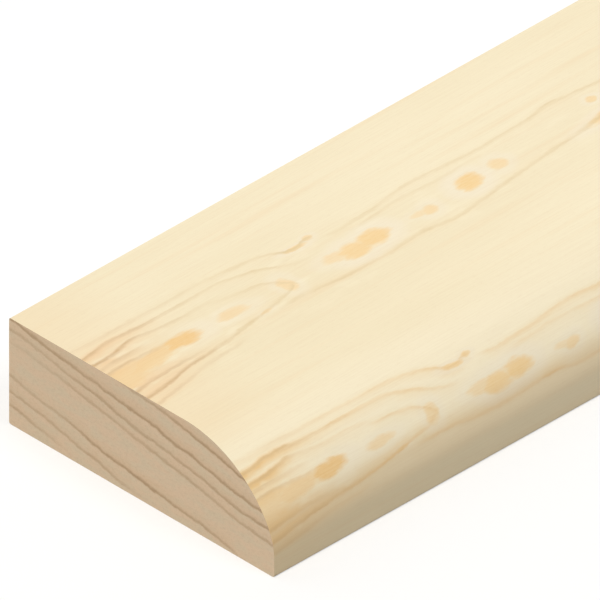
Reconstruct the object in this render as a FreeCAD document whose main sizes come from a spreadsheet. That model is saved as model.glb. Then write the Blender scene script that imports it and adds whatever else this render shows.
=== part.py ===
import FreeCAD, Part
import os
import Sketcher

# Pencil round moulding: one length of planed softwood, square along its back edge and
# rounded along its front edge, cross-cut square at both ends. It lies on its flat back.
#
# Frame, in millimetres: X runs along the length, Y across the width with the rounded edge
# at -Y, Z up from the flat back that goes against the wall. The origin is the middle of
# that back.

# Driving dimensions: alias, value in mm, what it measures.
DIMENSIONS = [
    ("length", 2100.0, "stock length, end to end"),
    ("width", 44.0, "finished width, square edge to rounded edge"),
    ("thickness", 15.0, "finished thickness at the square edge"),
    ("nose_radius", 15.5, "radius of the moulded round"),
    ("front_flat", 4.3, "height of the square front left below the round"),
    ("arris_radius", 0.3, "easing of the long square arrises"),
]

SAME_PLACE = 1e-4  # mm: how near an edge lies to the corner that it is looked up by


def make_sheet(doc):
    """The spreadsheet that holds the driving dimensions, one aliased cell each."""
    sheet = doc.addObject("Spreadsheet::Sheet", "Dimensions")
    for row, (alias, value, meaning) in enumerate(DIMENSIONS, start=1):
        sheet.set(f"A{row}", alias)
        sheet.set(f"B{row}", str(value))
        sheet.set(f"C{row}", meaning)
        sheet.setAlias(f"B{row}", alias)
    doc.recompute()
    return sheet


def origin_plane(body, role):
    """One of the body's own origin planes."""
    return next(f for f in body.Origin.OriginFeatures if f.Role == role)


def nose_centre(sheet):
    """Centre of the round in (Y, Z): the arc is tangent to the face and ends on the front."""
    centre_z = sheet.thickness - sheet.nose_radius
    reach = (sheet.nose_radius**2 - (sheet.front_flat - centre_z) ** 2) ** 0.5
    return FreeCAD.Vector(-sheet.width / 2 + reach, centre_z, 0)


def draw_section(sketch, sheet):
    """The cross-section, anticlockwise from the back's front corner, all driven by the sheet."""
    half_width = sheet.width / 2
    centre = nose_centre(sheet)
    front_foot = FreeCAD.Vector(-half_width, 0, 0)
    rear_foot = FreeCAD.Vector(half_width, 0, 0)
    rear_top = FreeCAD.Vector(half_width, sheet.thickness, 0)
    round_start = FreeCAD.Vector(centre.x, sheet.thickness, 0)
    round_end = FreeCAD.Vector(-half_width, sheet.front_flat, 0)
    to_middle = (round_start + round_end) / 2 - centre
    round_middle = centre + to_middle.normalize() * sheet.nose_radius

    back = sketch.addGeometry(Part.LineSegment(front_foot, rear_foot))
    square_edge = sketch.addGeometry(Part.LineSegment(rear_foot, rear_top))
    face = sketch.addGeometry(Part.LineSegment(rear_top, round_start))
    nose = sketch.addGeometry(Part.Arc(round_start, round_middle, round_end))
    front = sketch.addGeometry(Part.LineSegment(round_end, front_foot))

    start, end = 1, 2  # which end of a line or arc a constraint holds
    origin = (-1, 1)  # the sketch's own origin point
    link = Sketcher.Constraint
    sketch.addConstraint([
        link("Coincident", back, end, square_edge, start),
        link("Coincident", square_edge, end, face, start),
        link("Tangent", face, end, nose, start),
        link("Coincident", nose, end, front, start),
        link("Coincident", front, end, back, start),
        link("Horizontal", back),
        link("Vertical", square_edge),
        link("Horizontal", face),
        link("Vertical", front),
        link("Symmetric", back, start, back, end, *origin),
    ])
    sizes = {
        "width": link("DistanceX", back, start, back, end, sheet.width),
        "thickness": link("DistanceY", square_edge, start, square_edge, end, sheet.thickness),
        "nose_radius": link("Radius", nose, sheet.nose_radius),
        "front_flat": link("DistanceY", front, end, front, start, sheet.front_flat),
    }
    for alias, constraint in sizes.items():
        index = sketch.addConstraint(constraint)
        sketch.renameConstraint(index, alias)
        sketch.setExpression(f"Constraints.{alias}", f"{sheet.Name}.{alias}")


def long_edge_at(shape, y, z):
    """Name of the edge that runs the whole length at this place in the section."""
    for number, edge in enumerate(shape.Edges, start=1):
        places = [(v.Point.y - y) ** 2 + (v.Point.z - z) ** 2 for v in edge.Vertexes]
        if len(places) == 2 and max(places) < SAME_PLACE**2:
            return f"Edge{number}"
    raise RuntimeError(f"no long edge at y={y}, z={z}")


def make_moulding(doc, sheet):
    """The moulding: the section padded to length, then its three square arrises eased."""
    body = doc.addObject("PartDesign::Body", "Moulding")
    body.Label = "pencil_round_moulding"

    sketch = body.newObject("Sketcher::SketchObject", "Section")
    sketch.AttachmentSupport = (origin_plane(body, "YZ_Plane"), [""])
    sketch.MapMode = "FlatFace"
    draw_section(sketch, sheet)
    doc.recompute()

    stock = body.newObject("PartDesign::Pad", "Stock")
    stock.Profile = sketch
    stock.SideType = "Symmetric"
    stock.setExpression("Length", f"{sheet.Name}.length")
    sketch.Visibility = False
    doc.recompute()

    half_width = sheet.width / 2
    corners = [(half_width, 0), (half_width, sheet.thickness), (-half_width, 0)]
    eased = body.newObject("PartDesign::Fillet", "EasedArrises")
    eased.Base = (stock, [long_edge_at(stock.Shape, y, z) for y, z in corners])
    eased.setExpression("Radius", f"{sheet.Name}.arris_radius")
    doc.recompute()
    return body


def check(doc, bodies):
    """Stops the build if a feature failed or a piece isn't one sound solid."""
    for item in doc.Objects:
        if {"Invalid", "Error"} & set(item.State):
            raise RuntimeError(f"{item.Label} failed: {item.State}")
    for sketch in doc.findObjects("Sketcher::SketchObject"):
        if not sketch.FullyConstrained:
            raise RuntimeError(f"{sketch.Label} isn't fully constrained")
    for body in bodies:
        shape = body.Shape
        if shape.isNull() or not shape.isValid() or len(shape.Solids) != 1:
            raise RuntimeError(f"{body.Label} isn't one sound solid")


doc = FreeCAD.newDocument("PencilRoundMoulding")
sheet = make_sheet(doc)
bodies = [make_moulding(doc, sheet)]
doc.recompute()
check(doc, bodies)

os.makedirs("parts", exist_ok=True)
for body in bodies:
    body.Shape.exportStep(f"parts/{body.Label}.step")
    box = body.Shape.BoundBox
    print(f"{body.Label}: {box.XLength:.1f} x {box.YLength:.1f} x {box.ZLength:.1f} mm, "
          f"{body.Shape.Volume / 1000:.1f} cm3")
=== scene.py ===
import bpy
import math
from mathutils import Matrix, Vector, noise


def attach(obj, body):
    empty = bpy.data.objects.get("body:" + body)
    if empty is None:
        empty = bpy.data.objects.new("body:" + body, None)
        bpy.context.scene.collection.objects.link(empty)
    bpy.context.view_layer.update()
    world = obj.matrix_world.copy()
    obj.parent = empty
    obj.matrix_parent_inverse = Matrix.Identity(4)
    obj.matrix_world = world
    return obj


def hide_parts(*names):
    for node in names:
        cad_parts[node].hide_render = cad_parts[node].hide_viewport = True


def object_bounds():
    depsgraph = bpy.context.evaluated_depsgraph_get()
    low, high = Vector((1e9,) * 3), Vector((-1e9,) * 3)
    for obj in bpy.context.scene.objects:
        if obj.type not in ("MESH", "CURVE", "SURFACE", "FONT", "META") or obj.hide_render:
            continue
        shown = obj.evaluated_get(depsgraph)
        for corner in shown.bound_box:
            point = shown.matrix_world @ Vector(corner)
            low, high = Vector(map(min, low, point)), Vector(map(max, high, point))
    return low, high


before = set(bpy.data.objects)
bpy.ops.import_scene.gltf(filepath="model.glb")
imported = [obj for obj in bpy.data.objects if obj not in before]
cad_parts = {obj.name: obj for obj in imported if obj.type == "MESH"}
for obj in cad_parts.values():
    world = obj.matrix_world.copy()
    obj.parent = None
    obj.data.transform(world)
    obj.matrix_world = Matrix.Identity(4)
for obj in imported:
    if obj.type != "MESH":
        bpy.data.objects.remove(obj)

# The camera looks down on the left end of the moulding from its rounded side, close enough
# that only the first ten centimetres show. It is a long lens, so parallel edges stay parallel.
cad_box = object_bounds()
near_end = cad_box[0].x
square_edge = cad_box[1].y
VIEW_AZIMUTH = math.radians(-44.41)
VIEW_ELEVATION = math.radians(34.81)
VIEW_SPAN = 0.06964  # metres across the picture
VIEW_RIGHTWARD = 0.03378  # from the back corner of the left end to the middle of the view
VIEW_UPWARD = 0.01432
VIEW_DISTANCE = 1.2

toward_camera = Vector((
    math.sin(VIEW_AZIMUTH) * math.cos(VIEW_ELEVATION),
    -math.cos(VIEW_AZIMUTH) * math.cos(VIEW_ELEVATION),
    math.sin(VIEW_ELEVATION),
))
rightward = Vector((math.cos(VIEW_AZIMUTH), math.sin(VIEW_AZIMUTH), 0))
upward = toward_camera.cross(rightward)
lens = bpy.data.cameras.new("view")
lens.type = "ORTHO"
lens.ortho_scale = VIEW_SPAN
camera = bpy.data.objects.new("view", lens)
bpy.context.scene.collection.objects.link(camera)
back_corner = Vector((near_end, square_edge, 0))
aim = back_corner + rightward * VIEW_RIGHTWARD + upward * VIEW_UPWARD
camera.location = aim + toward_camera * VIEW_DISTANCE
camera.rotation_euler = toward_camera.to_track_quat("Z", "Y").to_euler()
lens.clip_start = 0.01
lens.clip_end = 20
bpy.context.scene.camera = camera


# The light is a broad soft lamp high over the left end, a smaller one over the rounded side
# that lays a sheen along the round, and a plain pale sky. Together they give a level face
# the light at which its colour shows as it is written.
LAMPS = {
    # where each lamp stands, how wide it is, and its share of the light on a level face
    "soft_lamp": (Vector((-0.95, -0.30, 0.92)), math.radians(38), 0.45),
    "sheen_lamp": (Vector((0.12, -0.56, 0.92)), math.radians(24), 0.18),
}
LAMP_COLOUR = (1.0, 0.985, 0.95)
lamp_share = sum(share for _, _, share in LAMPS.values())

for name, (toward, spread, share) in LAMPS.items():
    toward = toward.normalized()
    lamp = bpy.data.lights.new(name, "SUN")
    lamp.energy = share * math.pi / toward.z
    lamp.angle = spread
    lamp.color = LAMP_COLOUR
    lamp_stand = bpy.data.objects.new(name, lamp)
    lamp_stand.rotation_euler = toward.to_track_quat("Z", "Y").to_euler()
    bpy.context.scene.collection.objects.link(lamp_stand)


# The studio: a pale sky, brighter behind the moulding than before it and brightest low down
# there, for the square edge, and a wide white sheet under it. The sheet is white to the eye
# and greyer to the light that it sends back up.


class Reading:
    """A shader socket that can be written in sums, so that 1 - mask adds its own nodes."""

    def __init__(self, tree, socket):
        self.tree = tree
        self.socket = socket

    def node(self, kind, settings=(), **sockets):
        """Adds a node: its type, its settings, then the values or links of its sockets."""
        made = self.tree.nodes.new(kind)
        for name, setting in dict(settings).items():
            setattr(made, name, setting)
        for name, value in sockets.items():
            self.feed(made, name, value)
        return made

    def feed(self, made, name, value):
        """Sets one socket, found by its number after an underscore or by its name."""
        key = int(name[1:]) if name.startswith("_") else name.replace("_", " ")
        socket = made.inputs[key]
        if isinstance(value, Reading):
            self.tree.links.new(value.socket, socket)
        else:
            socket.default_value = value

    def read(self, made, output=0):
        return Reading(self.tree, made.outputs[output])

    def sum_of(self, operation, *terms):
        made = self.node("ShaderNodeMath", {"operation": operation})
        for number, term in enumerate(terms):
            self.feed(made, f"_{number}", term)
        return self.read(made)

    def __add__(self, other):
        return self.sum_of("ADD", self, other)

    def __radd__(self, other):
        return self.sum_of("ADD", other, self)

    def __sub__(self, other):
        return self.sum_of("SUBTRACT", self, other)

    def __rsub__(self, other):
        return self.sum_of("SUBTRACT", other, self)

    def __mul__(self, other):
        return self.sum_of("MULTIPLY", self, other)

    def __rmul__(self, other):
        return self.sum_of("MULTIPLY", other, self)

    def __truediv__(self, other):
        return self.sum_of("DIVIDE", self, other)

    def __gt__(self, other):
        return self.sum_of("GREATER_THAN", self, other)

    def __abs__(self):
        return self.sum_of("ABSOLUTE", self)

    def most(self, other):
        return self.sum_of("MAXIMUM", self, other)

    def least(self, other):
        return self.sum_of("MINIMUM", self, other)

    def rise(self, low, high, bottom=0.0, top=1.0):
        """Goes smoothly from bottom to top as this goes from low to high."""
        made = self.node("ShaderNodeMapRange", {"interpolation_type": "SMOOTHSTEP"})
        for number, value in enumerate((self, low, high, bottom, top)):
            self.feed(made, f"_{number}", value)
        return self.read(made)

    def tint(self, below, above):
        """A colour that goes from below to above as this goes from 0 to 1."""
        made = self.node("ShaderNodeMix", {"data_type": "RGBA"}, Factor=self)
        for number, colour in ((6, below), (7, above)):
            self.feed(made, f"_{number}", colour)
        return self.read(made, 2)


def new_material(name):
    """An empty material, its tree, and a Reading to start expressions from."""
    material = bpy.data.materials.new(name)
    material.use_nodes = True
    material.node_tree.nodes.clear()
    return material, Reading(material.node_tree, None)


SKY_BEHIND = 0.5  # how bright a glow stands low behind the moulding, for its square edge
GLOW_ON_LEVEL = 4 / 15 / math.pi  # how much of that glow a level face gets
SKY_LIGHT = 1 - lamp_share - SKY_BEHIND * GLOW_ON_LEVEL
SKY_COLOUR = (1.0, 1.0, 1.0)
SKY_LEAN = 0.85  # how much brighter the sky is straight behind than overhead
SHEET_TO_EYE = (0.62, 0.62, 0.62, 1)
SHEET_LIFT = 0.4  # light that the sheet adds, to the eye alone, so that it meets the sky
SHEET_BOUNCE = (0.38, 0.375, 0.36, 1)
SHEET_REACH = 12.0  # metres from its middle to its edges

world = bpy.data.worlds.new("sky")
bpy.context.scene.world = world
world.use_nodes = True
world.node_tree.nodes.clear()
sky = Reading(world.node_tree, None)
rays = sky.node("ShaderNodeLightPath")
seen = sky.read(rays, "Is Camera Ray")
seen = seen.most(sky.read(rays, "Is Glossy Ray")).most(sky.read(rays, "Is Transmission Ray"))
direction = sky.node("ShaderNodeSeparateXYZ", _0=sky.read(sky.node("ShaderNodeTexCoord"), "Generated"))
backward = sky.read(direction, 1)
behind = backward.most(0)
leaning = (1 + backward * SKY_LEAN) * SKY_LIGHT + behind * behind * behind * SKY_BEHIND
glow = sky.node("ShaderNodeBackground", Color=(*SKY_COLOUR, 1), Strength=leaning + (1 - leaning) * seen)
sky_out = sky.node("ShaderNodeOutputWorld")
world.node_tree.links.new(glow.outputs[0], sky_out.inputs[0])

sheet_mesh = bpy.data.meshes.new("white_sheet")
corners = [(x * SHEET_REACH, y * SHEET_REACH, 0) for x, y in ((-1, -1), (1, -1), (1, 1), (-1, 1))]
sheet_mesh.from_pydata(corners, [], [(0, 1, 2, 3)])
white_sheet = bpy.data.objects.new("white_sheet", sheet_mesh)
bpy.context.scene.collection.objects.link(white_sheet)
sheet_material, studio = new_material("white_sheet")
rays = studio.node("ShaderNodeLightPath")
to_eye = studio.read(rays, "Is Camera Ray")
to_eye = to_eye.most(studio.read(rays, "Is Glossy Ray")).most(studio.read(rays, "Is Transmission Ray"))
bounce = studio.read(studio.node("ShaderNodeBsdfDiffuse", Color=SHEET_BOUNCE))
shown = studio.read(studio.node("ShaderNodeBsdfDiffuse", Color=SHEET_TO_EYE))
lift = studio.read(studio.node("ShaderNodeEmission", Strength=SHEET_LIFT))
shown = studio.read(studio.node("ShaderNodeAddShader", _0=shown, _1=lift))
sheet_finish = studio.read(studio.node("ShaderNodeMixShader", _0=to_eye, _1=bounce, _2=shown))
studio.node("ShaderNodeOutputMaterial", Surface=sheet_finish)
sheet_mesh.materials.append(sheet_material)


# The moulding is one length of knotty pine, planed all round and run through a moulder that
# rounds its front edge. It is cross-cut at both ends, and its other arrises are just eased.
LENGTH = cad_box[1].x - cad_box[0].x
WIDTH = cad_box[1].y - cad_box[0].y
THICKNESS = cad_box[1].z - cad_box[0].z
NOSE_RADIUS = 0.0155
FRONT_FLAT = 0.0043
ARRIS = 0.0003
FACE_STEPS = 26
NOSE_STEPS = 38
EDGE_STEPS = 12
ARRIS_STEPS = 3
QUARTER_TURN = math.pi / 2

nose_z = THICKNESS - NOSE_RADIUS
nose_reach = math.sqrt(NOSE_RADIUS**2 - (FRONT_FLAT - nose_z) ** 2)
nose_y = -WIDTH / 2 + nose_reach
nose_turn = math.atan2(nose_reach, FRONT_FLAT - nose_z)


def arris(y, z, start):
    """Points round an eased arris about (y, z), a quarter turn on from the angle start."""
    angles = [start + QUARTER_TURN * step / ARRIS_STEPS for step in range(ARRIS_STEPS + 1)]
    return [(y + ARRIS * math.cos(angle), z + ARRIS * math.sin(angle)) for angle in angles]


def along_line(start, end, steps):
    """Points after start and before end, evenly spaced."""
    return [
        (start[0] + (end[0] - start[0]) * step / steps, start[1] + (end[1] - start[1]) * step / steps)
        for step in range(1, steps)
    ]


half_width = WIDTH / 2
back_top = arris(half_width - ARRIS, THICKNESS - ARRIS, 0)
front_foot = arris(-half_width + ARRIS, ARRIS, math.pi)
back_foot = arris(half_width - ARRIS, ARRIS, -QUARTER_TURN)
nose = []
for step in range(NOSE_STEPS + 1):
    angle = QUARTER_TURN + nose_turn * step / NOSE_STEPS
    nose.append((nose_y + NOSE_RADIUS * math.cos(angle), nose_z + NOSE_RADIUS * math.sin(angle)))

# The outline runs from the square edge's top arris over the face, round the nose, down the
# front, along the back and up the square edge.
face = along_line(back_top[-1], nose[0], FACE_STEPS)
front = along_line(nose[-1], front_foot[0], EDGE_STEPS)
back = along_line(front_foot[-1], back_foot[0], FACE_STEPS + NOSE_STEPS)
edge = along_line(back_foot[-1], back_top[0], EDGE_STEPS)
outline = back_top + face + nose + front + front_foot + back + back_foot + edge

# The cutter leaves no hard line where the round runs into the front: a few passes of a
# smoothing there stand for the sanded blend.
BLEND_PASSES = 8
BLEND_REACH = 4  # outline points to either side of the foot of the round
foot_of_nose = len(back_top) + len(face) + len(nose) - 1
for blending in range(BLEND_PASSES):
    smoothed = list(outline)
    for number in range(foot_of_nose - BLEND_REACH, foot_of_nose + BLEND_REACH + 1):
        neighbours = outline[number - 1], outline[number], outline[number + 1]
        smoothed[number] = tuple(sum(part) / len(neighbours) for part in zip(*neighbours))
    outline = smoothed

# Stations along the length stand close together near the ends and further apart between.
FINE_STEP = 0.0012
FINE_REACH = 0.11
COARSE_STEP = 0.0055
stations = [near_end]
while stations[-1] < cad_box[1].x - COARSE_STEP:
    from_end = min(stations[-1] - near_end, cad_box[1].x - stations[-1])
    share = min(1, max(0, (from_end - FINE_REACH) / FINE_REACH))
    stations.append(stations[-1] + FINE_STEP + (COARSE_STEP - FINE_STEP) * share)
stations[-1] = cad_box[1].x

# How far each outline point lies round the section, in millimetres from the square edge's
# sharp top corner, for the grain to follow over the arrises and the nose.
MM = 1000
rounds = [-(QUARTER_TURN - 1) * ARRIS * MM]
for here, there in zip(outline, outline[1:] + outline[:1]):
    rounds.append(rounds[-1] + math.dist(here, there) * MM)

# The planer and the drying leave the faces a few hundredths of a millimetre short of flat.
RELIEF = 0.00003
RELIEF_LENGTH = 0.028
RELIEF_WIDTH = 0.0022


def relief(x, y, z):
    """How far a long face lies below its true plane here."""
    spot = Vector((x / RELIEF_LENGTH, y / RELIEF_WIDTH, z / RELIEF_WIDTH))
    return RELIEF * (0.5 + 0.5 * noise.noise(spot))


def planed(x, number):
    """An outline point at a station along the length, sunk by the relief."""
    y, z = outline[number]
    before = Vector(outline[number - 1])
    after = Vector(outline[(number + 1) % len(outline)])
    run = (after - before).normalized()
    depth = relief(x, y, z)
    return (x, y - run.y * depth, z + run.x * depth)


points = [planed(x, number) for x in stations for number in range(len(outline))]
around = len(outline)
quads = []
for row in range(len(stations) - 1):
    for number in range(around):
        after = (number + 1) % around
        low, high = row * around, (row + 1) * around
        quads.append((low + number, low + after, high + after, high + number))
left_end = tuple(reversed(range(around)))
right_end = tuple(range(len(points) - around, len(points)))
mesh = bpy.data.meshes.new("moulding")
mesh.from_pydata(points, [], quads + [left_end, right_end])
mesh.validate()

# Two maps: the grain's, in millimetres along and round the section, and the one that a
# finished texture would be laid out on, which is the long faces in rows and the ends below.
STRIPS = 4
STRIP_GAP = 1.5
STRIP_SLACK = 1e-6
strip_ends = [LENGTH * (strip + 1) / STRIPS for strip in range(STRIPS)]
strip_height = rounds[-1] - rounds[0] + STRIP_GAP
sheet_side = max(LENGTH * MM / STRIPS, strip_height * STRIPS + THICKNESS * MM) + 2 * STRIP_GAP
grain_map = mesh.uv_layers.new(name="grain")
laid_out = mesh.uv_layers.new(name="OFBake")
for polygon in mesh.polygons:
    middle = sum(mesh.vertices[v].co.x for v in polygon.vertices) / len(polygon.vertices) - near_end
    strip = next(n for n, end in enumerate(strip_ends) if middle <= end + STRIP_SLACK)
    numbers = [v % around for v in polygon.vertices]
    closing = polygon.loop_total == 4 and 0 in numbers and around - 1 in numbers
    for loop in polygon.loop_indices:
        vertex = mesh.loops[loop].vertex_index
        place = mesh.vertices[vertex].co
        number = vertex % around
        along = (place.x - near_end) * MM
        across = rounds[around if closing and number == 0 else number]
        grain_map.uv[loop].vector = (along, across)
        if polygon.loop_total == 4:
            spot = (along - strip * LENGTH * MM / STRIPS, strip * strip_height + across - rounds[0])
        else:
            shift = 0 if middle < LENGTH / 2 else (WIDTH * MM + 2 * STRIP_GAP)
            spot = (shift + (place.y + half_width) * MM, STRIPS * strip_height + place.z * MM)
        laid_out.uv[loop].vector = ((spot[0] + STRIP_GAP) / sheet_side, (spot[1] + STRIP_GAP) / sheet_side)

mesh.shade_smooth()
for edge in mesh.edges:
    first, second = edge.vertices
    at_end = first // around in (0, len(stations) - 1)
    edge.use_edge_sharp = at_end and first // around == second // around
moulding = bpy.data.objects.new("moulding", mesh)
bpy.context.scene.collection.objects.link(moulding)
weigh = moulding.modifiers.new("even_normals", "WEIGHTED_NORMAL")
weigh.keep_sharp = True
bpy.context.view_layer.objects.active = moulding
bpy.ops.object.modifier_apply(modifier=weigh.name)

# The figure of the wood, which the saw laid bare along the board in bands. Each growth ring
# comes out as a line: its points are how far along from the left end, how far from the
# band's middle toward the nose, both in millimetres, and how dark.
FIGURE_LENGTH = 116.0
FIGURE_REACH = 12.0  # no ring line strays further than this from its band's middle
BANDS = (
    # middle and spread of a band, and where the next one takes over
    (18.0, 1.0, 31.0),
    (44.05, 0.82, 58.0),
    (72.0, 1.05, 85.0),
    (98.6, 0.95, None),
)
RING_LINES = {
    "outer": [(0, -7.9, 0.15), (12, -7.7, 0.3), (20, -7.6, 0.4), (26, -7.2, 0.5), (29, -6.7, 0.6),
              (31, -5.9, 0.85), (32.5, -5.1, 1.0), (34, -4.9, 0.9), (35.6, -5.4, 0.9), (37, -5.2, 0.0)],
    "main_upper": [(0, -6.0, 1.0), (2, -6.2, 1.0), (4, -6.6, 1.0), (6.5, -6.5, 0.9), (10, -6.2, 0.75),
                   (14, -6.1, 0.65), (18, -6.1, 0.6), (22, -6.1, 0.5), (25, -5.4, 0.5), (28, -4.4, 0.55),
                   (30, -3.3, 0.4), (32.2, -2.6, 0.25), (35, -2.4, 0.0)],
    "second_upper": [(0, -4.15, 1.0), (3, -4.3, 1.0), (5, -4.6, 0.85), (7, -5.0, 0.7), (9, -4.6, 0.35),
                     (13, -4.2, 0.35), (17, -4.1, 0.3), (20, -4.0, 0.1), (24, -3.9, 0.0)],
    "third_upper": [(0, -2.9, 0.55), (3, -3.1, 0.5), (5.5, -3.1, 0.35), (8, -3.1, 0.2), (12, -3.0, 0.0)],
    "flame_upper": [(16, -3.9, 0.0), (20, -3.4, 0.3), (23, -3.0, 0.5), (25, -2.7, 0.55), (26.6, -1.9, 0.6),
                    (27.8, -1.0, 0.7), (28.5, -0.2, 0.7), (28.9, 0.4, 0.0)],
    "flame_lower": [(0, 5.2, 0.75), (3.8, 4.6, 0.75), (7.5, 4.05, 0.75), (10.5, 3.65, 0.8), (15, 3.25, 0.8),
                    (19.3, 2.65, 0.85), (22.8, 1.95, 0.8), (24.6, 1.6, 0.55), (26.8, 1.1, 0.6),
                    (28.2, 0.3, 0.65), (28.9, -0.1, 0.0)],
    "inner_lower": [(0, 3.5, 0.8), (2.5, 3.05, 0.8), (5, 2.8, 0.7), (8.4, 2.75, 0.45), (12, 2.7, 0.15),
                    (16, 2.2, 0.0)],
    "foot": [(0, 6.9, 0.35), (3, 6.4, 0.4), (6, 5.9, 0.35), (9, 5.3, 0.25), (14, 4.8, 0.3), (18, 4.4, 0.0)],
    "short_upper": [(0, -1.75, 0.6), (2.5, -1.9, 0.5), (5, -1.8, 0.35), (8, -1.65, 0.3), (12, -1.9, 0.0)],
    "lower": [(21, 3.1, 0.0), (26, 2.8, 0.4), (30, 2.95, 0.65), (33, 3.4, 0.65), (37, 3.6, 0.55),
              (41, 3.55, 0.5), (44.5, 3.3, 0.6), (46.5, 3.25, 0.8), (48.5, 3.55, 0.5), (51, 3.9, 0.45),
              (55, 3.6, 0.5), (58.6, 3.2, 0.45), (62, 2.7, 0.5), (67, 2.2, 0.5), (72, 1.8, 0.55),
              (75, 1.4, 0.7), (78, 0.9, 0.9), (82, 0.5, 1.0), (87, 0.7, 0.9), (93, 1.2, 0.7),
              (100, 2.4, 0.6), (108, 3.2, 0.5), (116, 3.9, 0.4)],
    "upper": [(36.4, -4.6, 0.0), (39, -4.15, 0.35), (42, -4.25, 0.45), (45.5, -4.45, 0.5), (49, -4.9, 0.55),
              (53, -5.1, 0.55), (57, -4.9, 0.5), (61, -4.65, 0.4), (67, -4.6, 0.45), (71, -4.75, 0.5),
              (73.4, -5.05, 0.75), (75.2, -5.3, 0.95), (77.2, -5.1, 0.8), (80, -4.9, 0.6), (83, -4.4, 0.6),
              (88, -4.2, 0.5), (94, -4.4, 0.5), (101, -4.9, 0.45), (108, -5.2, 0.4), (116, -5.6, 0.35)],
    "under_upper": [(39, -2.9, 0.0), (44, -3.2, 0.3), (49, -3.6, 0.3), (54, -3.3, 0.35), (60, -3.5, 0.15),
                    (68, -3.4, 0.0)],
}
# Where a ring lies almost level with the face it shows as an amber patch. Each is its middle
# along and across, half its length and width, its tilt, and how strong it is.
AMBER_PATCHES = [
    (0.6, 0.4, 5.2, 2.2, -0.12, 0.55),
    (6.2, -0.2, 4.8, 1.4, -0.08, 0.66),
    (11.2, -0.6, 2.9, 1.35, 0.0, 1.0),
    (19.2, -0.4, 2.4, 0.9, 0.0, 0.55),
    (27.8, -0.2, 1.1, 1.6, 0.0, 0.55),
    (22.0, 2.05, 1.0, 0.35, -0.1, 0.5),
    (35.8, -0.15, 2.0, 1.05, 0.0, 0.55),
    (38.6, 0.35, 2.6, 1.55, 0.0, 0.9),
    (41.6, -0.05, 2.5, 1.55, 0.0, 0.95),
    (49.2, 0.25, 1.9, 0.6, 0.1, 0.45),
    (50.4, 0.55, 1.2, 1.0, 0.0, 0.65),
    (57.5, -0.3, 2.05, 1.6, 0.0, 1.0),
    (62.4, -0.6, 1.3, 1.2, 0.0, 0.65),
    (33.6, -4.8, 1.7, 0.45, 0.1, 0.75),
    (36.0, -5.3, 0.8, 0.5, 0.0, 0.6),
    (79.1, -2.5, 0.8, 0.6, 0.0, 0.7),
    (79.6, 0.8, 4.2, 0.9, -0.12, 0.75),
]


def paint(red, green, blue):
    """A colour given as it would be mixed on screen, from 0 to 255."""
    def linear(part):
        part = part / 255
        return part / 12.92 if part <= 0.04045 else ((part + 0.055) / 1.055) ** 2.4
    return (linear(red), linear(green), linear(blue), 1.0)


PALE_WOOD = paint(252, 240, 209)
CREAM_WOOD = paint(246, 232, 198)
DRY_WOOD = paint(245, 222, 183)
WARM_WOOD = paint(244, 211, 168)
# The colour of the painted highlight along the top of the round.
PAINTED_HIGHLIGHT_WOOD = paint(255, 243, 213)
CLEAR_WOOD = paint(250, 239, 216)
AMBER = paint(250, 216, 158)
DRY_AMBER = paint(246, 207, 146)
# The brown of the ring lines, also used for the painted shade at the foot of the round.
RING_AND_SHADE_BROWN = paint(210, 176, 132)
RING_GREY = paint(228, 205, 158)
RING_AMBER = paint(243, 207, 150)

ROUGHNESS = 0.62
GLOSS = 0.25
FIBRE_DEPTH = 0.00004  # metres

planed_pine, wood = new_material("planed_pine")
grain_place = wood.read(wood.node("ShaderNodeUVMap", {"uv_map": "grain"}))
split = wood.node("ShaderNodeSeparateXYZ", _0=grain_place)
along = wood.read(split, 0)
across = wood.read(split, 1)


def mottle(start, along, across, length, width, detail=2.0, roughness=0.5, seed=0.0):
    """Soft noise from 0 to 1, in flecks of this length along the grain and width across."""
    place = start.read(start.node("ShaderNodeCombineXYZ", _0=along / length, _1=across / width, _2=seed))
    cloud = start.node("ShaderNodeTexNoise", Vector=place, Scale=1.0, Detail=detail, Roughness=roughness)
    return start.read(cloud)


def traced(start, place, heights, low, high):
    """Reads a drawn line: its height where place, from 0 to 1, falls along it."""
    made = start.node("ShaderNodeFloatCurve", Value=place)
    curve = made.mapping.curves[0]
    spots = [(x, (height - low) / (high - low)) for x, height in heights]
    if spots[0][0] > 0:
        spots.insert(0, (0, spots[0][1]))
    if spots[-1][0] < 1:
        spots.append((1, spots[-1][1]))
    while len(curve.points) < len(spots):
        curve.points.new(0.5, 0.5)
    for point, spot in zip(curve.points, spots):
        point.location = spot
    made.mapping.update()
    return start.read(made) * (high - low) + low


# Past the first stretch the bands part company. Each stretch of each is drawn out, turned
# round or not, and shifted across by its own chance. Its rings die out one by one and its
# patches come and go, so that no two match.
WANDER_FROM, WANDER_TO = 90, 150
EVEN = 2000  # so wide that the noise is even all across the board
STRETCH_SWING = 90
BAND_SHIFT = 37
BAND_SEED = 29
MOST_DRAWN_OUT = 0.35
MOST_ASIDE = 7
DRIFT = 6
DYING_REACH = 80
FADE_FROM, FADE_TO = 2, 16
wandering = along.rise(WANDER_FROM, WANDER_TO)
band = across > BANDS[0][2]
for _, _, limit in BANDS[1:-1]:
    band = band + (across > limit)
swing = (mottle(wood, along, across, 190, EVEN, 1) - 0.5) * STRETCH_SWING
flow_along = along + (swing + band * BAND_SHIFT) * wandering
count = flow_along.sum_of("FLOOR", flow_along / FIGURE_LENGTH)
later = count > 0.5
chance = wood.node("ShaderNodeTexWhiteNoise", {"noise_dimensions": "1D"}, W=count + band * BAND_SEED)
chances = wood.node("ShaderNodeSeparateXYZ", _0=wood.read(chance, 1))
turned = later * (wood.read(chances, 0) > 0.5)
into = flow_along - count * FIGURE_LENGTH
into = into + turned * (FIGURE_LENGTH - into * 2)
dying = (mottle(wood, along, across, 160, 1.5, 2, 0.5, 19.0) - 0.3).most(0) * DYING_REACH
fading = (into - dying).rise(FADE_FROM, FADE_TO)
fading = fading * (FIGURE_LENGTH - into - dying).rise(FADE_FROM, FADE_TO)
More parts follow.
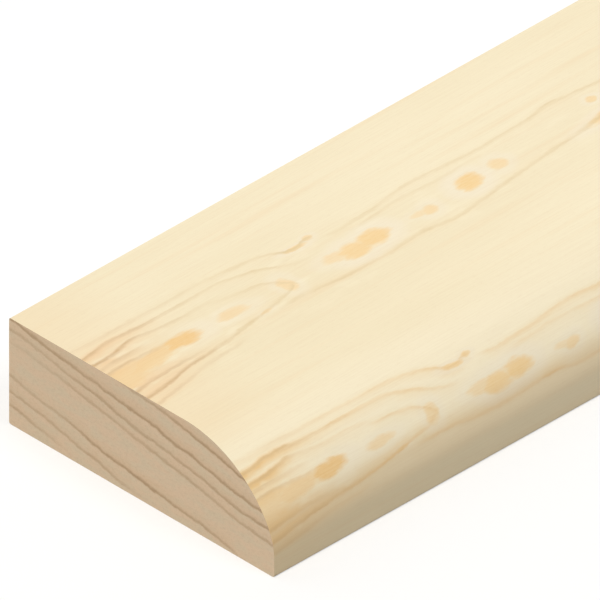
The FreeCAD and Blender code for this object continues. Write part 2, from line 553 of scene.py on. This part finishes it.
fading = 1 - later * (1 - fading)
drawn_out = 1 - later * wood.read(chances, 1) * MOST_DRAWN_OUT
drift = (mottle(wood, along, across, 120, EVEN, 1, seed=7.0) - 0.5) * DRIFT * wandering
drift = drift + (wood.read(chances, 2) - 0.5) * later * MOST_ASIDE

# The lines waver, most of all near the end where the rings lie close.
calm = 1 - wandering * 0.7
wobble = (mottle(wood, along, across, 5.5, 3.2, 3, 0.55, 3.0) - 0.5) * 0.75 * calm
tremble = (mottle(wood, along, across, 1.1, 0.9, 2, 0.6, 4.0) - 0.5) * 0.4 * calm
flow = (mottle(wood, along, across, 14, 2.0, 2, 0.5, 5.0) - 0.5) * 1.6 * calm
figure_along = abs(into * drawn_out + flow)
band_across = (across - BANDS[0][0]) / BANDS[0][1]
for (middle, spread, _), (_, _, limit) in zip(BANDS[1:], BANDS):
    here = (across - middle) / spread
    band_across = band_across + (here - band_across) * (across > limit)
figure_across = band_across + wobble + tremble + drift
place = (figure_along / FIGURE_LENGTH).least(1.0)

# A ring's line, and the warmer wood beside it, are given by where they rise and die away,
# in millimetres past the ring.
LINE_EDGES = (-0.3, 0.06, 0.08, 0.74)
HALO_EDGES = (-0.9, 0.35, 0.3, 2.1)


def ring_mark(past, edges, depth):
    """A mark this dark along a ring, rising over its first two edges and dying over the rest."""
    rise_from, rise_to, die_from, die_to = edges
    return past.rise(rise_from, rise_to) * past.rise(die_from, die_to, 1, 0) * depth


lines = None
halos = None
for points_on_line in RING_LINES.values():
    paths = [(x / FIGURE_LENGTH, y) for x, y, _ in points_on_line]
    depths = [(x / FIGURE_LENGTH, depth) for x, _, depth in points_on_line]
    if points_on_line[0][0] > 0:
        depths.insert(0, (0, 0))
    middle_y = sum(y for _, y, _ in points_on_line) / len(points_on_line)
    past = figure_across - traced(wood, place, paths, -FIGURE_REACH, FIGURE_REACH)
    inward = past * (1 if middle_y < 0 else -1)
    depth = traced(wood, place, depths, 0, 1) * fading
    line = ring_mark(inward, LINE_EDGES, depth)
    halo = ring_mark(inward, HALO_EDGES, depth)
    lines = line if lines is None else lines.most(line)
    halos = halo if halos is None else halos.most(halo)

# Beside the figure, long rings run on down the board, and come and go.
LONG_RINGS = (9.5, 26.5, 36.5, 52.5, 64.0, 80.5, 90.0, 107.5)
LONG_SWING = 9.0
LONG_DEPTH = 0.85
SWING_SEED = 41.0
DEPTH_SEED = 61.0
for number, middle in enumerate(LONG_RINGS):
    swing = (mottle(wood, along, 0, 260, 1, 2, 0.5, SWING_SEED + number) - 0.5) * LONG_SWING
    past = across - swing - middle + wobble + tremble
    depth = mottle(wood, along, 0, 70, 1, 2, 0.5, DEPTH_SEED + number).rise(0.42, 0.66)
    depth = depth * wandering * LONG_DEPTH
    lines = lines.most(ring_mark(past, LINE_EDGES, depth))
    halos = halos.most(ring_mark(past, HALO_EDGES, depth))

# Each amber patch is an ellipse with an uneven fringe, and the wood round it is paler.
amber = None
around_amber = None
fringe = (mottle(wood, along, across, 2.4, 0.9, 3, 0.55, 9.0) - 0.5) * 1.6
for x, y, half_length, half_breadth, tilt, strength in AMBER_PATCHES:
    aside = figure_along - x
    below = figure_across - y - aside * tilt
    far = (aside / half_length) * (aside / half_length) + (below / half_breadth) * (below / half_breadth)
    patch = (far + fringe).rise(0.25, 1.4, 1, 0) * strength
    surround = (far + fringe).rise(1.3, 5.5, 1, 0) * strength
    amber = patch if amber is None else amber.most(patch)
    around_amber = surround if around_amber is None else around_amber.most(surround)
coming = 1 - wandering * mottle(wood, along, across, 26, 14, 1, 0.5, 11.0).rise(0.42, 0.6)
amber = amber * coming * fading

# The wood between: fine fibres and specks, streaks and slow changes of tone along the grain.
fibre = mottle(wood, along, across, 9, 0.16, 4, 0.6)
speckle = mottle(wood, along, across, 0.9, 0.3, 3, 0.65, 23.0)
streak = mottle(wood, along, across, 45, 1.6, 3, 0.5, 13.0)
worn = mottle(wood, along, across, 6, 1.8, 2, 0.5, 31.0).rise(0.3, 0.7, 0.55, 1.25)
tone = mottle(wood, along, across, 60, 14, 2, 0.5, 17.0)
from_cut = along.least(LENGTH * MM - along)
DRIED_REACH = 16  # how far the ends have dried and darkened
dried = from_cut.rise(0, DRIED_REACH, 1, 0)
heart = abs(figure_across).rise(2, 9, 1, 0)

# The colours are laid over one another, from the plain wood to the rings. The top of the round
# is painted paler, a painted highlight, and its foot and the front below it browner, painted shade.
colour = (tone.rise(0.3, 0.7) * 0.6 + from_cut.rise(20, 75) * 0.4).tint(CREAM_WOOD, PALE_WOOD)
colour = (streak.rise(0.5, 0.75) * 0.38).tint(colour, DRY_WOOD)
colour = (dried * 0.45 + dried * heart * 0.4).tint(colour, DRY_WOOD)
# Painted highlight: the upper part of the round is painted paler, standing in for the sheen of the light
# along it.
painted_highlight = across.rise(31, 38) * across.rise(43, 46.5, 1, 0)
colour = (painted_highlight * 0.95).tint(colour, PAINTED_HIGHLIGHT_WOOD)
nosed = across.rise(33, 36) * across.rise(52, 56, 1, 0)
warm_colour = nosed.tint(WARM_WOOD, RING_AMBER)
colour = (halos * (0.16 + nosed * 0.22 + dried * 0.75)).least(1).tint(colour, warm_colour)
clear = mottle(wood, along, across, 5, 2.2, 2, 0.5, 21.0).rise(0.52, 0.7) * heart
colour = (clear * 0.6).tint(colour, PALE_WOOD)
colour = (around_amber * coming * fading * from_cut.rise(8, 18) * 0.65).tint(colour, CLEAR_WOOD)
amber_colour = from_cut.rise(13, 24).tint(DRY_AMBER, AMBER)
colour = (amber * (0.6 + fibre * 0.35 + speckle * 0.35)).tint(colour, amber_colour)
ring_colour = from_cut.rise(4, 22).tint(RING_AND_SHADE_BROWN, RING_GREY)
ring_colour = (nosed * from_cut.rise(6, 18, 0.4, 0.85)).tint(ring_colour, RING_AMBER)
colour = (lines * worn * (0.26 + fibre * 0.5 + speckle * 0.5)).tint(colour, ring_colour)
colour = (fibre.rise(0.35, 0.75) * 0.1 + speckle.rise(0.5, 0.8) * 0.09).tint(colour, RING_AND_SHADE_BROWN)
# Painted shade: the foot of the round and the front below it are painted browner, where the light falls
# away from them.
painted_shade = across.rise(43.8, 47) * (1 - across.rise(48.5, 50.5) * 0.45) * across.rise(54, 57, 1, 0)
colour = (painted_shade * 0.34).tint(colour, RING_AND_SHADE_BROWN)
height = fibre * 0.5 + lines * 0.6 + amber * 0.3
bump = wood.read(wood.node("ShaderNodeBump", Strength=0.35, Distance=FIBRE_DEPTH, Height=height))
finish = wood.node(
    "ShaderNodeBsdfPrincipled", Base_Color=colour, Normal=bump, Specular_IOR_Level=GLOSS,
    Roughness=ROUGHNESS - lines * 0.05 + fibre * 0.06,
)
wood.node("ShaderNodeOutputMaterial", Surface=wood.read(finish))

# The cross-cut ends show the growth rings on edge, as thin brown lines through tan wood that
# the saw has left rough. Each line's points are how far in from the rounded edge and how
# high, in millimetres, and how dark.
END_RINGS = [
    [(5.4, 11.45, 1.0), (6.6, 11.75, 1.0), (8.5, 12.2, 1.0), (12.2, 13.05, 0.9), (16.5, 13.95, 0.75),
     (20, 14.4, 0.55), (25, 15.0, 0.4), (31, 15.6, 0.0)],
    [(2.6, 8.35, 0.9), (6.5, 8.9, 0.9), (10.4, 9.6, 0.85), (14.5, 10.5, 0.95), (16.7, 10.75, 0.95),
     (20.8, 11.65, 0.9), (26.6, 12.3, 0.85), (31.2, 12.9, 0.7), (35.8, 13.55, 0.8), (44, 14.8, 0.9)],
    [(0.8, 6.3, 0.9), (6.2, 6.8, 0.7), (10, 7.5, 0.65), (15.8, 8.7, 0.6), (20.5, 9.3, 0.6), (24, 9.85, 0.6),
     (28.8, 11.0, 0.7), (34, 11.75, 0.5), (39, 12.7, 0.4), (44, 13.3, 0.5)],
    [(0, 4.4, 0.65), (5, 4.95, 0.55), (10, 5.85, 0.5), (15.8, 7.05, 0.6), (20, 7.8, 0.55), (24, 8.5, 0.45),
     (30.8, 9.7, 0.5), (37, 10.8, 0.3), (44, 11.6, 0.15)],
    [(4, -0.4, 0.0), (8.4, 0.8, 0.6), (14, 1.7, 0.7), (19, 2.35, 0.85), (20.8, 2.6, 0.95), (25, 3.3, 0.9),
     (28.8, 3.8, 0.85), (33.8, 5.1, 0.6), (38.5, 5.7, 0.4), (44, 7.0, 0.5)],
    [(20, 0.2, 0.0), (25, 0.8, 0.35), (29, 1.8, 0.55), (33, 2.6, 0.5), (38, 3.7, 0.5), (44, 4.6, 0.55)],
    [(32, 0.4, 0.0), (36, 1.2, 0.2), (40, 1.9, 0.5), (43, 2.6, 0.6), (44, 2.7, 0.4)],
]
END_TAN = paint(212, 192, 163)
END_PINK = paint(217, 191, 161)
END_BROWN = paint(209, 178, 143)
END_RING = paint(170, 141, 108)
END_LINE_EDGES = (-0.34, -0.02, 0.0, 0.5)
END_LATE_EDGES = (-0.5, 0.2, 0.2, 1.9)
END_LOW, END_HIGH = -1, 17  # the ring lines lie between these heights
END_ROUGHNESS = 0.78
SAW_DEPTH = 0.00008  # metres

sawn_pine, sawn = new_material("sawn_pine")
spot = sawn.node("ShaderNodeSeparateXYZ", _0=sawn.read(sawn.node("ShaderNodeTexCoord"), "Object"))
inward = (sawn.read(spot, 1) + half_width) * MM
rise = sawn.read(spot, 2) * MM
ripple = (mottle(sawn, inward, rise, 1.6, 1.6, 3, 0.6) - 0.5) * 0.8
sway = (mottle(sawn, inward, rise, 7, 9, 1, 0.5, 3.0) - 0.5) * 0.5
ringed = rise + ripple + sway
end_place = (inward / (WIDTH * MM)).least(1).most(0)
dark = None
shade = None
for points_on_line in END_RINGS:
    paths = [(x / (WIDTH * MM), y) for x, y, _ in points_on_line]
    depths = [(x / (WIDTH * MM), depth) for x, _, depth in points_on_line]
    past = ringed - traced(sawn, end_place, paths, END_LOW, END_HIGH)
    depth = traced(sawn, end_place, depths, 0, 1)
    line = ring_mark(past, END_LINE_EDGES, depth)
    late = ring_mark(past, END_LATE_EDGES, depth)
    dark = line if dark is None else dark.most(line)
    shade = late if shade is None else shade.most(late)
pores = mottle(sawn, inward, rise, 0.16, 0.16, 2, 0.6, 5.0)
tufts = mottle(sawn, inward, rise, 0.55, 0.4, 3, 0.65, 6.0)
patches = mottle(sawn, inward, rise, 3.4, 1.5, 3, 0.55, 8.0)
end_colour = patches.rise(0.36, 0.62).tint(END_TAN, END_PINK)
end_colour = (shade * 0.6).tint(end_colour, END_BROWN)
end_colour = (pores.rise(0.45, 0.8) * 0.22 + tufts.rise(0.42, 0.75) * 0.16).tint(end_colour, END_RING)
end_colour = (dark * (0.35 + pores * 0.5 + tufts * 0.6)).tint(end_colour, END_RING)
end_height = pores * 0.5 + tufts * 0.6 + patches * 0.4 - dark * 0.5
end_bump = sawn.read(sawn.node("ShaderNodeBump", Strength=0.5, Distance=SAW_DEPTH, Height=end_height))
end_finish = sawn.node("ShaderNodeBsdfPrincipled", Base_Color=end_colour, Normal=end_bump,
                       Roughness=END_ROUGHNESS + pores * 0.1)
sawn.node("ShaderNodeOutputMaterial", Surface=sawn.read(end_finish))

moulding.data.materials.append(planed_pine)
moulding.data.materials.append(sawn_pine)
end_faces = moulding.data.polygons[-2:]
for polygon in end_faces:
    polygon.material_index = 1
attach(moulding, "root")
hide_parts("pencil_round_moulding")

bpy.context.scene.view_settings.view_transform = "Standard"
